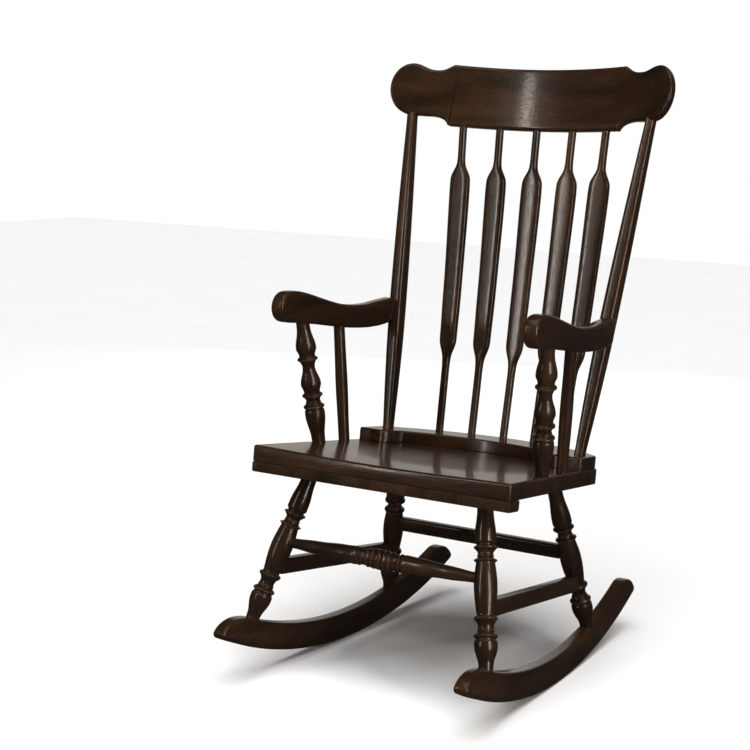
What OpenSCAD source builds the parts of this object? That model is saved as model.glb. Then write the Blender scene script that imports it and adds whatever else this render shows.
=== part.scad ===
// Wooden rocking chair: a turned and sawn hardwood frame that stands on two curved rockers.
// The chair faces -Y, +Z is up, and +X is the sitter's left.
// The origin is on the floor, under the middle of the chair's box.

/* [Seat] */
// Width of the seat along its front edge
seat_w = 550; // [530:2:570]
// Width of the seat across its rear corners
seat_rear_w = 494; // [480:2:506]
// Depth of the seat at the middle
seat_depth = 540; // [534:1:548]
// Depth of the seat at its rear corners
seat_side_depth = 434; // [428:1:440]
// Height of the seat's front edge
seat_h = 447; // [440:1:455]
// Backward slope of the seat
seat_tilt = 6.9; // [6.5:0.1:7.2]
// Thickness of the seat plank
plank_t = 32; // [28:1:34]
// Height of the strip under the front edge
lip_h = 20; // [18:1:24]
// Height of the riser that carries the back
riser_h = 25; // [22:1:28]

/* [Back] */
// Overall height of the chair
overall_h = 1181; // [1160:1:1200]
// Width of the crest rail
crest_w = 635; // [620:1:645]
// Height of the crest rail between its ears
crest_h = 125; // [122:1:134]
// Thickness of the crest rail
crest_t = 24; // [22:1:28]
// Radius of the crest rail's concave face
crest_r = 700; // [680:2:760]
// Backward slope of the posts
recline = 13.4; // [13:0.1:14]
// Half distance between the feet of the posts
post_foot_x = 219; // [216:1:222]
// Half distance between the tops of the posts
post_top_x = 270; // [266:1:274]

/* [Rockers] */
// Overall length of the rockers
rocker_l = 826; // [800:1:850]
// Radius of the rockers' underside
rocker_r = 960; // [900:5:1000]
// Height of a rocker board
rocker_h = 54; // [50:1:56]
// Thickness of a rocker board
rocker_t = 28.5; // [28:0.5:32]
// Angle by which the rockers close towards the back
rocker_toe = 2.4; // [2:0.1:3.2]

/* [Arms] */
// Height of the arms' front knuckle
arm_h = 733; // [728:1:742]
// Thickness of an arm board
arm_t = 29; // [27:1:31]

/* [Hidden] */

wood = [0.16, 0.08, 0.05];
steel = [0.62, 0.62, 0.64];

gap = 0.05;
socket_slack = 1;
big = 2000;
$fn = 64;

// The rockers' lowest point and the middle of the chair, measured back from the seat's front edge
rocker_low = 300;
rocker_front = -135;
mid_y = rocker_front + rocker_l / 2;

// ---- Helpers ----

// Stands +Z at p and points it at q.
module aim(p, q) {
    d = q - p;
    translate(p) rotate([0, acos(d[2] / norm(d)), atan2(d[1], d[0])]) children();
}

// The model is drawn on the sitter's left and mirrored for the right.
module side(s) {
    if (s > 0) children();
    else mirror([1, 0, 0]) children();
}

// Cosine steps between the key stations [length, radius] of a turning
function swell(keys, n) = concat(
    [for (i = [0 : len(keys) - 2]) for (j = [0 : n - 1])
        let (e = (1 - cos(180 * j / n)) / 2, a = keys[i], b = keys[i + 1])
        [a[0] + (b[0] - a[0]) * j / n, a[1] + (b[1] - a[1]) * e]],
    [keys[len(keys) - 1]]);

// A turned piece of the given length from stations [share of the length, radius]
module turned(keys, length) {
    curve = swell([for (k = keys) [k[0] * length, k[1]]], 5);
    outline = concat([[0, 0]], [for (p = curve) [p[1], p[0]]], [[0, length]]);
    rotate_extrude() polygon(outline);
}

// Rises from 0 at either end to 1 at the peak.
function bulge(f, peak) = f < peak ? sin(90 * f / peak) : cos(90 * (f - peak) / (1 - peak));

// A board outline that is symmetrical about its length, from half widths
function tapered(length, n, half) = concat(
    [for (i = [0 : n]) [half[i], length * i / n]],
    [for (i = [n : -1 : 0]) [-half[i], length * i / n]]);

// Extrudes a side view, drawn as [y, z], to a board that is centred on x = 0.
module side_board(thickness) {
    rotate([90, 0, 90]) translate([0, 0, -thickness / 2]) linear_extrude(thickness) children();
}

// ---- Frames ----

// The seat's top plane: y runs back along the seat from its front edge.
module on_seat() {
    translate([0, -mid_y, seat_h]) rotate([-seat_tilt, 0, 0]) children();
}
function seat_pt(x, y, up) = [
    x,
    y * cos(seat_tilt) + up * sin(seat_tilt) - mid_y,
    seat_h - y * sin(seat_tilt) + up * cos(seat_tilt)];

// The plane of the back posts: z runs up along the back from the riser's top.
post_back = 408;
back_foot = seat_pt(0, post_back, riser_h);
module on_back() {
    translate(back_foot) rotate([-recline, 0, 0]) children();
}
function back_pt(x, y, up) = back_foot + [
    x,
    y * cos(recline) + up * sin(recline),
    up * cos(recline) - y * sin(recline)];

// The plane of the left rocker: y runs back from its lowest point.
rocker_x = 238;
module on_rocker() {
    translate([rocker_x, rocker_low - mid_y, 0]) rotate([0, 0, rocker_toe]) children();
}
// A point at the given radius about the rocker's centre
function rocker_pt(along, radius) = [
    rocker_x - along * sin(rocker_toe),
    rocker_low - mid_y + along * cos(rocker_toe),
    rocker_r - sqrt(radius * radius - along * along)];

// Stands +Z on a rocker's top edge, square to it, at the given distance back from its lowest point.
module on_rocker_edge(along) {
    on_rocker() translate([0, 0, rocker_r]) rotate([asin(along / (rocker_r - rocker_h)), 0, 0])
        translate([0, 0, rocker_h - rocker_r]) children();
}

// The plane of the left arm: y runs back from its front knuckle.
arm_x = 268;
arm_front = 60;
arm_toe = 2.75;
module on_arm() {
    translate([arm_x, arm_front - mid_y, 0]) rotate([0, 0, arm_toe]) children();
}
function arm_pt(along, z) = [
    arm_x - along * sin(arm_toe),
    arm_front - mid_y + along * cos(arm_toe),
    z];

// ---- Seat ----

// The rear edge is one arc through the two rear corners and the middle.
seat_bow = seat_depth - seat_side_depth;
seat_arc_r = (pow(seat_rear_w / 2, 2) + seat_bow * seat_bow) / (2 * seat_bow);
seat_arc_y = seat_depth - seat_arc_r;

module seat_plan() {
    flare = (seat_w - seat_rear_w) / 2 / seat_side_depth;
    rear_half = seat_w / 2 - flare * seat_depth;
    intersection() {
        polygon([[-seat_w / 2, 0], [seat_w / 2, 0], [rear_half, seat_depth], [-rear_half, seat_depth]]);
        translate([0, seat_arc_y]) circle(seat_arc_r, $fn = 180);
    }
}

// The top is scooped at the front edge, the scoop running out backwards, and dished in the middle.
scoop = 4;
scoop_half = 235;
scoop_r = (scoop_half * scoop_half + scoop * scoop) / (2 * scoop);
scoop_rise = 1.4;
dish = 5;
dish_half = 200;
dish_y = 215;
dish_r = (dish_half * dish_half + dish * dish) / (2 * dish);

module seat_plank() {
    color(wood) difference() {
        on_seat() translate([0, 0, -plank_t]) linear_extrude(plank_t) seat_plan();
        on_seat() translate([0, 0, -scoop]) rotate([scoop_rise, 0, 0]) translate([0, -2, scoop_r])
            rotate([-90, 0, 0]) cylinder(r = scoop_r, h = 300, $fn = 360);
        on_seat() translate([0, dish_y, dish_r - dish]) sphere(dish_r, $fn = 360);
        for (s = [1, -1]) side(s) {
            aim(leg_top("front"), leg_foot("front")) leg_socket();
            aim(leg_top("rear"), leg_foot("rear")) leg_socket();
            aim(arm_support_foot, arm_support_top) stick_socket(tenon_r, arm_tenon_l);
            aim(arm_spindle_foot, arm_spindle_top) stick_socket(tenon_r, arm_tenon_l);
            post_bolt_hole();
        }
        for (x = riser_screw_xs) riser_screw_hole(x);
        for (x = lip_screw_xs) lip_screw_hole(x);
    }
}

// The strip is rounded along its two lower edges.
lip_d = 42;
lip_round = 5;
module seat_lip() {
    low = -plank_t - lip_h;
    arc = [for (a = [0 : 15 : 90]) a];
    section = concat(
        [[0, -plank_t - gap]],
        [for (a = arc) [lip_round - lip_round * cos(a), low + lip_round - lip_round * sin(a)]],
        [for (a = arc) [lip_d - lip_round + lip_round * sin(a), low + lip_round - lip_round * cos(a)]],
        [[lip_d, -plank_t - gap]]);
    color(wood) difference() {
        on_seat() translate([0, 0.5, 0]) side_board(seat_w - 2) polygon(section);
        for (x = lip_screw_xs) lip_screw_hole(x);
    }
}

// The riser follows the seat's rear arc, with a block at either end for the posts.
riser_inset = 6;
riser_r = seat_arc_r - riser_inset;
riser_block_x = 194;
riser_turn_x = 165;
riser_mid_y = 427;
riser_front_r = 330;
riser_block_y = 344;
function riser_front_y(x) = riser_mid_y - riser_front_r + sqrt(riser_front_r * riser_front_r - x * x);

module riser_plan() {
    steps = 10;
    inner = [for (x = [-riser_turn_x : 15 : riser_turn_x]) [x, riser_front_y(x)]];
    turn = [for (i = [1 : steps])
        let (e = (1 - cos(180 * i / steps)) / 2)
        [riser_turn_x + (riser_block_x - riser_turn_x) * i / steps,
         riser_front_y(riser_turn_x) + (riser_block_y - riser_front_y(riser_turn_x)) * e]];
    flipped = [for (i = [steps - 1 : -1 : 0]) [-turn[i][0], turn[i][1]]];
    edge = seat_rear_w / 2 - 1;
    flare = (seat_w - seat_rear_w) / 2 / seat_side_depth;
    block_edge = edge + flare * (seat_side_depth - riser_block_y);
    intersection() {
        polygon(concat(
            [[-block_edge, riser_block_y]], flipped, inner, turn, [[block_edge, riser_block_y]],
            [[edge, seat_side_depth], [edge, seat_depth], [-edge, seat_depth], [-edge, seat_side_depth]]));
        translate([0, seat_arc_y]) circle(riser_r, $fn = 180);
    }
}

module seat_riser() {
    color(wood) difference() {
        on_seat() translate([0, 0, gap]) linear_extrude(riser_h - gap) riser_plan();
        for (i = [0 : 4]) aim(spindle_foot(i), spindle_top(i)) stick_socket(spindle_tenon_r, spindle_foot_l);
        for (s = [1, -1]) side(s) {
            post_axis() post_socket();
            post_bolt_hole();
        }
        for (x = riser_screw_xs) riser_screw_hole(x);
    }
}

// ---- Rockers ----

rocker_front_s = (rocker_front - rocker_low) / cos(rocker_toe) + rocker_t / 2 * tan(rocker_toe);
rocker_rear_s = (rocker_front + rocker_l - rocker_low) / cos(rocker_toe) - rocker_t / 2 * tan(rocker_toe);
nose_sweep = 5;
tail_sweep = 3.2;

// A point of a rocker's rounded end, from the lower tip at t = 0 to the top edge at t = 90
end_over = 3;
function end_pt(tip_s, sweep, t, over = 0) =
    let (radius = rocker_r - rocker_h * sin(t) + over)
    let (angle = asin(tip_s / rocker_r) + sweep * (1 - cos(t)))
    [radius * sin(angle), rocker_r - radius * cos(angle)];

module rocker_outline() {
    inside = rocker_r - rocker_h - 60;
    polygon(concat(
        [[0, -40]],
        [end_pt(rocker_front_s, nose_sweep, 0) + [0, -60]],
        [end_pt(rocker_front_s, nose_sweep, 0, end_over)],
        [for (t = [7.5 : 7.5 : 82.5]) end_pt(rocker_front_s, nose_sweep, t)],
        [end_pt(rocker_front_s, nose_sweep, 90, -end_over)],
        [[-0.3 * inside, rocker_r - inside], [0.3 * inside, rocker_r - inside]],
        [end_pt(rocker_rear_s, -tail_sweep, 90, -end_over)],
        [for (t = [82.5 : -7.5 : 7.5]) end_pt(rocker_rear_s, -tail_sweep, t)],
        [end_pt(rocker_rear_s, -tail_sweep, 0, end_over)],
        [end_pt(rocker_rear_s, -tail_sweep, 0) + [0, -60]]));
}

module rocker(s) {
    color(wood) side(s) difference() {
        on_rocker() intersection() {
            side_board(rocker_t) difference() {
                translate([0, rocker_r]) circle(rocker_r, $fn = 360);
                translate([0, rocker_r]) circle(rocker_r - rocker_h, $fn = 360);
            }
            side_board(rocker_t) rocker_outline();
        }
        for (which = ["front", "rear"]) on_rocker_edge(leg_along(which)) {
            stick_socket(tenon_r, foot_tenon_l);
            rocker_bolt_hole();
        }
    }
}

// ---- Legs ----

tenon_r = 9;
foot_tenon_l = 26;
top_tenon_r = 11;
top_tenon_l = 19;
arm_tenon_l = 19;

// Stations of a leg from the seat down to the rocker: beads, coves, a barrel and a vase
leg_keys = [
    [0, 14.2], [0.10, 15.8], [0.255, 19.9], [0.298, 19.1], [0.306, 17.4], [0.320, 21.2], [0.334, 17.2],
    [0.352, 13.7], [0.376, 16.8], [0.391, 21.3], [0.404, 17.4], [0.413, 18.3], [0.555, 21.3],
    [0.698, 16], [0.706, 17], [0.720, 21.6], [0.764, 13.7], [0.797, 19.5], [0.805, 18.5],
    [0.818, 21.5], [0.832, 18.7], [0.860, 21], [0.985, 13.2], [1, 13]];

// The ends of a leg's axis: under the seat plank, and on the rocker's top edge
function leg_top(which) = which == "front" ? seat_pt(184, 83, -plank_t) : seat_pt(176, 386, -plank_t);
function leg_along(which) = which == "front" ? -327 : 150;
function leg_foot(which) = rocker_pt(leg_along(which), rocker_r - rocker_h);
function leg_pt(which, share) = leg_top(which) + (leg_foot(which) - leg_top(which)) * share;

module leg_socket() {
    translate([0, 0, -top_tenon_l - socket_slack]) cylinder(r = top_tenon_r + gap, h = top_tenon_l + 40);
}
// A socket sinks below the aimed point and clears the stick's own shoulder.
module stick_socket(radius, depth) {
    translate([0, 0, -depth - socket_slack]) cylinder(r = radius + gap, h = depth + 40);
}

module leg(which, s) {
    length = norm(leg_foot(which) - leg_top(which));
    over = 12;
    color(wood) side(s) difference() {
        union() {
            intersection() {
                aim(leg_top(which), leg_foot(which)) union() {
                    turned(leg_keys, length);
                    translate([0, 0, -over]) cylinder(r = leg_keys[0][1], h = over);
                    translate([0, 0, length]) cylinder(r = leg_keys[len(leg_keys) - 1][1], h = over);
                }
                on_seat() translate([-big / 2, -big / 2, -plank_t - gap - big]) cube(big);
                on_rocker() translate([0, 0, rocker_r]) rotate([0, 90, 0])
                    cylinder(r = rocker_r - rocker_h - gap, h = big, center = true, $fn = 360);
            }
            aim(leg_top(which), leg_foot(which)) translate([0, 0, -top_tenon_l])
                cylinder(r = top_tenon_r, h = top_tenon_l + 20);
            on_rocker_edge(leg_along(which)) translate([0, 0, -foot_tenon_l])
                cylinder(r = tenon_r, h = foot_tenon_l + 8);
        }
        leg_stretcher_sockets(which);
        on_rocker_edge(leg_along(which)) insert_hole();
    }
}

// ---- Stretchers ----

// Where each stretcher meets its legs, as a share of the leg's length from the seat
front_share = 0.5;
side_front_share = 0.665;
side_rear_share = 0.7;
rear_share = 0.492;
stretcher_tenon_l = 13;
stretcher_r = 8;

function to_right(p) = [-p[0], p[1], p[2]];
// The end of a tenon, set back from the leg's axis towards the other end
function tenon_tip(p, q) = p + (q - p) * ((leg_wall - stretcher_tenon_l) / norm(q - p));
leg_wall = 19;

module stretcher_bore(p, q) {
    tip = tenon_tip(p, q);
    aim(tip, q) translate([0, 0, -socket_slack]) cylinder(r = stretcher_r + gap, h = 40);
}

module leg_stretcher_sockets(which) {
    if (which == "front") {
        stretcher_bore(leg_pt("front", front_share), to_right(leg_pt("front", front_share)));
        stretcher_bore(leg_pt("front", side_front_share), leg_pt("rear", side_rear_share));
    } else {
        stretcher_bore(leg_pt("rear", rear_share), to_right(leg_pt("rear", rear_share)));
        stretcher_bore(leg_pt("rear", side_rear_share), leg_pt("front", side_front_share));
    }
}

// Half of the front stretcher, from its end to the middle ball
front_keys = [
    [0, 9.5], [0.30, 13], [0.62, 16.5], [0.745, 17], [0.77, 13.5], [0.785, 17.5], [0.80, 13],
    [0.83, 15.5], [0.855, 12.5], [0.875, 18], [0.905, 15.5], [0.93, 19.5], [0.96, 16], [1, 19.5]];

module stretcher_front() {
    p = leg_pt("front", front_share);
    q = to_right(p);
    half = norm(q - p) / 2 - leg_wall - 1.5;
    color(wood) translate([0, p[1], p[2]]) for (s = [1, -1]) side(s) rotate([0, 90, 0]) {
        translate([0, 0, half]) mirror([0, 0, 1]) turned(front_keys, half);
        translate([0, 0, half - 2]) cylinder(r = stretcher_r, h = stretcher_tenon_l + 3.5);
    }
}

// A sawn stretcher between two points, with its top edges eased and a round tenon at each end
module sawn_stretcher(p, q, height, thickness) {
    d = q - p;
    run = norm(d) - 2 * leg_wall - 3;
    ease = 5;
    h = height / 2;
    t = thickness / 2;
    translate((p + q) / 2) rotate([0, 0, atan2(d[1], d[0])]) rotate([0, -asin(d[2] / norm(d)), 0]) {
        rotate([90, 0, 90]) translate([0, 0, -run / 2]) linear_extrude(run)
            polygon([[-t, -h + 2], [-t + 2, -h], [t - 2, -h], [t, -h + 2],
                [t, h - ease], [t - ease, h], [-t + ease, h], [-t, h - ease]]);
        rotate([0, 90, 0]) cylinder(r = stretcher_r, h = norm(d) - 2 * (leg_wall - stretcher_tenon_l),
            center = true);
    }
}

module stretcher_rear() {
    p = leg_pt("rear", rear_share);
    color(wood) sawn_stretcher(to_right(p), p, 28, 22);
}

module stretcher_side(s) {
    color(wood) side(s)
        sawn_stretcher(leg_pt("front", side_front_share), leg_pt("rear", side_rear_share), 31, 23);
}

// ---- Back ----

crest_top = (overall_h - back_foot[2]) / cos(recline) - 4;
crest_low = crest_top - crest_h;
ear_h = 110;
ear_low = crest_top - ear_h;
ear_rise = crest_h - ear_h + 2;
ear_a = 42;
crest_step_x = 195;
crest_arc_y = 42 - crest_r;

// The right-hand half of the crest rail's outline, from the middle of its lower edge to its top
function crest_half() = concat(
    [[0, crest_low], [crest_step_x, crest_low]],
    [for (i = [1 : 8]) [crest_step_x + 36 * (1 - cos(11.25 * i)), crest_low + ear_rise * sin(11.25 * i)]],
    [for (t = [-90 : 9 : 90])
        [crest_w / 2 - ear_a + ear_a * cos(t), ear_low + ear_h / 2 + ear_h / 2 * sin(t)]],
    [for (i = [1 : 8]) [crest_w / 2 - ear_a - 5 * i, crest_top - 5 * (1 - cos(22.5 * i))]],
    [[crest_w / 2 - ear_a - 52, crest_top - 9.6], [crest_w / 2 - ear_a - 62, crest_top - 7],
     [crest_step_x, crest_top + 5]],
    [for (i = [1 : 5]) [crest_step_x * (1 - i / 5), crest_top + 5 - 2 * sin(18 * i)]]);

module crest_rail() {
    half = crest_half();
    flipped = [for (i = [len(half) - 2 : -1 : 1]) [-half[i][0], half[i][1]]];
    color(wood) difference() {
        on_back() intersection() {
            translate([0, crest_arc_y, crest_low - 20]) difference() {
                cylinder(r = crest_r + crest_t, h = crest_h + 40, $fn = 360);
                translate([0, 0, -1]) cylinder(r = crest_r, h = crest_h + 42, $fn = 360);
            }
            translate([0, 150, 0]) rotate([90, 0, 0]) linear_extrude(300) polygon(concat(half, flipped));
        }
        for (i = [0 : 4]) aim(spindle_top(i), spindle_foot(i)) stick_socket(spindle_tenon_r, spindle_top_l);
        for (s = [1, -1]) side(s) post_axis() translate([0, 0, post_l - 20])
            cylinder(r = post_tenon_r + gap, h = 20 + post_tenon_l + socket_slack);
    }
}

// The posts are sawn square and swell towards the arms.
post_l = (ear_low) / cos(atan((post_top_x - post_foot_x) / ear_low));
post_splay = atan((post_top_x - post_foot_x) / ear_low);
post_tenon_r = 8;
post_tenon_l = 30;
post_foot_l = 18;
post_end = [9.2, 10.4];
post_mid = [14.5, 16.1];
post_peak = 0.37;

module post_axis() {
    on_back() translate([post_foot_x, 0, 0]) rotate([0, post_splay, 0]) children();
}

module post_blank(grow) {
    n = 20;
    over = 8;
    w = [for (i = [0 : n]) post_end[0] + (post_mid[0] - post_end[0]) * bulge(i / n, post_peak) + grow];
    d = [for (i = [0 : n]) post_end[1] + (post_mid[1] - post_end[1]) * bulge(i / n, post_peak) + grow];
    intersection() {
        translate([0, 50, 0]) rotate([90, 0, 0]) linear_extrude(100) polygon(tapered(post_l, n, w));
        rotate([90, 0, 90]) translate([0, 0, -50]) linear_extrude(100) polygon(tapered(post_l, n, d));
    }
    translate([-w[0], -d[0], -over]) cube([2 * w[0], 2 * d[0], over]);
    translate([-w[n], -d[n], post_l]) cube([2 * w[n], 2 * d[n], over]);
}

module post_socket() {
    translate([0, 0, -post_foot_l - socket_slack]) cylinder(r = post_tenon_r + gap, h = post_foot_l + 30);
}

module back_post(s) {
    color(wood) side(s) difference() {
        union() {
            intersection() {
                post_axis() post_blank(0);
                on_seat() translate([-big / 2, -big / 2, riser_h + gap]) cube(big);
                on_back() translate([-big / 2, -big / 2, ear_low - gap - big]) cube(big);
            }
            post_axis() {
                translate([0, 0, -post_foot_l]) cylinder(r = post_tenon_r, h = post_foot_l + 20);
                translate([0, 0, post_l - 20]) cylinder(r = post_tenon_r, h = 20 + post_tenon_l);
            }
        }
        post_axis() post_insert_hole();
        arm_bolt_hole();
    }
}

// Five arrow-shaped spindles stand on the riser's arc and reach into the crest rail.
spindle_foot_xs = [-142, -72, 0, 72, 142];
spindle_top_xs = [-163, -83, 0, 83, 163];
spindle_arc_r = 577;
spindle_mid_y = 509;
spindle_neck_r = 8.2;
spindle_tenon_r = 5.5;
spindle_foot_l = 18;
spindle_top_l = 24;
paddle_t = 16.5;
// Stations of a spindle's paddle: share of the length, half width
paddle_keys = [[0.20, 8.0], [0.235, 8.6], [0.305, 18.2], [0.46, 19.6], [0.80, 22], [0.828, 21.4],
    [0.885, 8.6], [0.91, 8.0]];

function spindle_foot(i) = let (x = spindle_foot_xs[i])
    seat_pt(x, spindle_mid_y - spindle_arc_r + sqrt(spindle_arc_r * spindle_arc_r - x * x), riser_h);
function spindle_top(i) = let (x = spindle_top_xs[i], r = crest_r + crest_t / 2)
    back_pt(x, crest_arc_y + sqrt(r * r - x * x), crest_low);

module spindle(i) {
    p = spindle_foot(i);
    q = spindle_top(i);
    d = q - p;
    length = norm(d);
    over = 6;
    curve = swell([for (k = paddle_keys) [k[0] * length, k[1]]], 6);
    outline = concat([for (c = curve) [c[1], c[0]]],
        [for (j = [len(curve) - 1 : -1 : 0]) [-curve[j][1], curve[j][0]]]);
    color(wood) union() {
        intersection() {
            translate(p) rotate([-atan2(d[1], d[2]), 0, 0]) rotate([0, asin(d[0] / length), 0])
                union() {
                    translate([0, 0, -over]) cylinder(r = spindle_neck_r, h = 0.235 * length + over);
                    translate([0, 0, 0.88 * length]) cylinder(r = spindle_neck_r, h = 0.12 * length + over);
                    translate([0, paddle_t / 2, 0]) rotate([90, 0, 0]) linear_extrude(paddle_t)
                        polygon(outline);
                }
            on_seat() translate([-big / 2, -big / 2, riser_h + gap]) cube(big);
            on_back() translate([-big / 2, -big / 2, crest_low - gap - big]) cube(big);
        }
        aim(p, q) translate([0, 0, -spindle_foot_l])
            cylinder(r = spindle_tenon_r, h = length + spindle_foot_l + spindle_top_l);
    }
}

// ---- Arms ----

knuckle_r = 31;
// Stations of the arm's upper and lower edges behind the knuckle: distance from it, height
arm_upper = [[58, arm_h - 1], [90, arm_h - 8], [125, arm_h - 18], [160, arm_h - 28], [195, arm_h - 37],
    [230, arm_h - 43], [265, arm_h - 46], [300, arm_h - 47], [340, arm_h - 44], [375, arm_h - 42],
    [398, arm_h - 41]];
arm_lower = [[384, arm_h - 90], [375, arm_h - 93], [340, arm_h - 96], [300, arm_h - 96],
    [260, arm_h - 93], [215, arm_h - 88], [165, arm_h - 80], [110, arm_h - 71], [60, arm_h - 64]];

module arm_outline() {
    polygon(concat(
        [for (a = [250 : -10 : 90]) [knuckle_r + knuckle_r * cos(a), arm_h - knuckle_r + knuckle_r * sin(a)]],
        arm_upper, arm_lower));
}

function arm_low_z(along) = lookup(along, arm_lower);

arm_support_foot = seat_pt(245, 185, 0);
arm_support_top = arm_pt(87, arm_low_z(87));
arm_spindle_foot = seat_pt(243, 276, 0);
arm_spindle_top = arm_pt(206, arm_low_z(206)) - [3, 0, 0];

// Stations of an arm's front post from the arm down to the seat
arm_support_keys = [
    [0, 13.2], [0.05, 13.8], [0.205, 20], [0.272, 16], [0.282, 16.4], [0.297, 20.3], [0.312, 16.2],
    [0.36, 12.4], [0.505, 20], [0.578, 15.6], [0.585, 16.4], [0.598, 20.4], [0.612, 16.4],
    [0.650, 14.2], [0.678, 17], [0.693, 20.8], [0.712, 18], [0.758, 20], [0.97, 13.4], [1, 13.2]];
arm_spindle_keys = [[0, 11.2], [0.5, 12.4], [1, 11.2]];

module arm(s) {
    color(wood) side(s) difference() {
        on_arm() side_board(arm_t) arm_outline();
        post_axis() post_blank(gap);
        aim(arm_support_top, arm_support_foot) stick_socket(tenon_r, arm_tenon_l);
        aim(arm_spindle_top, arm_spindle_foot) stick_socket(tenon_r, arm_tenon_l);
        arm_bolt_hole();
    }
}

// A turned stick between the seat and the arm, trimmed to both, with a tenon at each end
module arm_turning(top, foot, keys) {
    length = norm(foot - top);
    over = 8;
    first = keys[0][1];
    color(wood) union() {
        difference() {
            intersection() {
                aim(top, foot) union() {
                    turned(keys, length);
                    translate([0, 0, -over]) cylinder(r = first, h = over);
                    translate([0, 0, length]) cylinder(r = first, h = over);
                }
                on_seat() translate([-big / 2, -big / 2, gap]) cube(big);
            }
            on_arm() side_board(arm_t + 60) polygon(concat(
                [for (p = arm_lower) p - [0, gap]], [[0, arm_h], [400, arm_h]]));
        }
        aim(top, foot) translate([0, 0, -arm_tenon_l])
            cylinder(r = tenon_r, h = length + 2 * arm_tenon_l);
    }
}

// ---- Fasteners ----

bolt_r = 3;
head_r = 5;
head_h = 6;
insert_r = 4.5;

// A socket-head bolt with its head's top at z = 0 and its shank running up
module bolt(length) {
    difference() {
        cylinder(r = head_r, h = head_h);
        translate([0, 0, -1]) cylinder(r = 2.9, h = 4, $fn = 6);
    }
    translate([0, 0, head_h]) cylinder(r = bolt_r, h = length);
}
module bolt_hole(depth, length) {
    translate([0, 0, -depth]) cylinder(r = head_r + 1.5, h = depth + head_h + gap);
    translate([0, 0, head_h]) cylinder(r = bolt_r + 0.2, h = length + 1);
}
module insert_sleeve(length) {
    difference() {
        cylinder(r = insert_r, h = length);
        translate([0, 0, -1]) cylinder(r = bolt_r + gap, h = length + 2);
    }
}

// Each rocker bolt runs up into the leg's foot from a counterbore in the rocker's underside.
rocker_bolt_l = 44;
rocker_head = 44;
insert_l = 15;
module rocker_bolt_hole() {
    translate([0, 0, -rocker_head]) bolt_hole(60, rocker_bolt_l);
}
module insert_hole() {
    translate([0, 0, -foot_tenon_l - 1]) cylinder(r = insert_r + gap, h = insert_l + 1.5);
    translate([0, 0, -foot_tenon_l - 1]) cylinder(r = bolt_r + 0.2, h = 36);
}
module at_rocker_bolts() {
    for (s = [1, -1]) side(s) for (which = ["front", "rear"])
        on_rocker_edge(leg_along(which)) children();
}
module rocker_bolts() {
    color(steel) at_rocker_bolts() translate([0, 0, -rocker_head]) bolt(rocker_bolt_l);
}
module leg_inserts() {
    color(steel) at_rocker_bolts() translate([0, 0, -foot_tenon_l]) insert_sleeve(insert_l);
}

// Each post bolt runs up through the plank and the riser into an insert in the post's foot.
post_bolt_l = 66;
post_head = 47;
module post_bolt_hole() {
    post_axis() translate([0, 0, -post_head]) bolt_hole(40, post_bolt_l);
}
module post_insert_hole() {
    translate([0, 0, -post_foot_l - 1]) cylinder(r = insert_r + gap, h = insert_l + 1.5);
    translate([0, 0, -post_foot_l - 1]) cylinder(r = bolt_r + 0.2, h = 46);
}
module post_bolts() {
    color(steel) for (s = [1, -1]) side(s) post_axis() translate([0, 0, -post_head]) bolt(post_bolt_l);
}
module post_inserts() {
    color(steel) for (s = [1, -1]) side(s) post_axis() translate([0, 0, -post_foot_l]) insert_sleeve(insert_l);
}

// A countersunk wood screw with its head's face at z = 0 and its shank running up
module wood_screw(length) {
    cylinder(r1 = 4, r2 = 1.9, h = 3);
    translate([0, 0, 3]) cylinder(r = 1.9, h = length - 9);
    translate([0, 0, length - 6]) cylinder(r1 = 1.9, r2 = 0.4, h = 6);
}
module screw_hole(depth, length) {
    translate([0, 0, -depth]) cylinder(r = 4.5, h = depth + gap);
    cylinder(r1 = 4.1, r2 = 1.95, h = 3);
    cylinder(r = 1.95, h = length);
}

// Three screws pull the riser down from under the plank.
riser_screw_xs = [-107, 0, 107];
riser_screw_l = 38;
riser_screw_sink = 4;
module riser_screw_at(x) {
    y = riser_front_y(x) + 32;
    on_seat() translate([x, y, -plank_t + riser_screw_sink]) children();
}
module riser_screw_hole(x) {
    riser_screw_at(x) screw_hole(riser_screw_sink + 1, riser_screw_l);
}
module riser_screws() {
    color(steel) for (x = riser_screw_xs) riser_screw_at(x) wood_screw(riser_screw_l - 0.1);
}

// Three screws hold the strip under the front edge.
lip_screw_xs = [-180, 0, 180];
lip_screw_l = 34;
lip_screw_sink = 6;
module lip_screw_at(x) {
    on_seat() translate([x, 0.5 + lip_d / 2, -plank_t - lip_h + lip_screw_sink]) children();
}
module lip_screw_hole(x) {
    lip_screw_at(x) screw_hole(lip_screw_sink + 1, lip_screw_l);
}
module lip_screws() {
    color(steel) for (x = lip_screw_xs) lip_screw_at(x) wood_screw(lip_screw_l - 0.1);
}

// Each arm bolt runs forward through the post into the arm's end, under a wooden plug.
arm_bolt_up = 252;
arm_bolt_l = 44;
plug_h = 5;
module arm_bolt_at() {
    d = post_mid[1];
    post_axis() translate([4.5, d - plug_h - 1, arm_bolt_up]) rotate([90 - 14, 0, 0]) children();
}
module arm_bolt_hole() {
    arm_bolt_at() bolt_hole(20, arm_bolt_l);
}
module arm_bolts() {
    color(steel) for (s = [1, -1]) side(s) arm_bolt_at() bolt(arm_bolt_l);
}
module arm_plugs() {
    color(wood) for (s = [1, -1]) side(s) arm_bolt_at()
        translate([0, 0, -plug_h - gap]) cylinder(r = head_r + 1.45, h = plug_h);
}

// ---- Nodes ----

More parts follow.
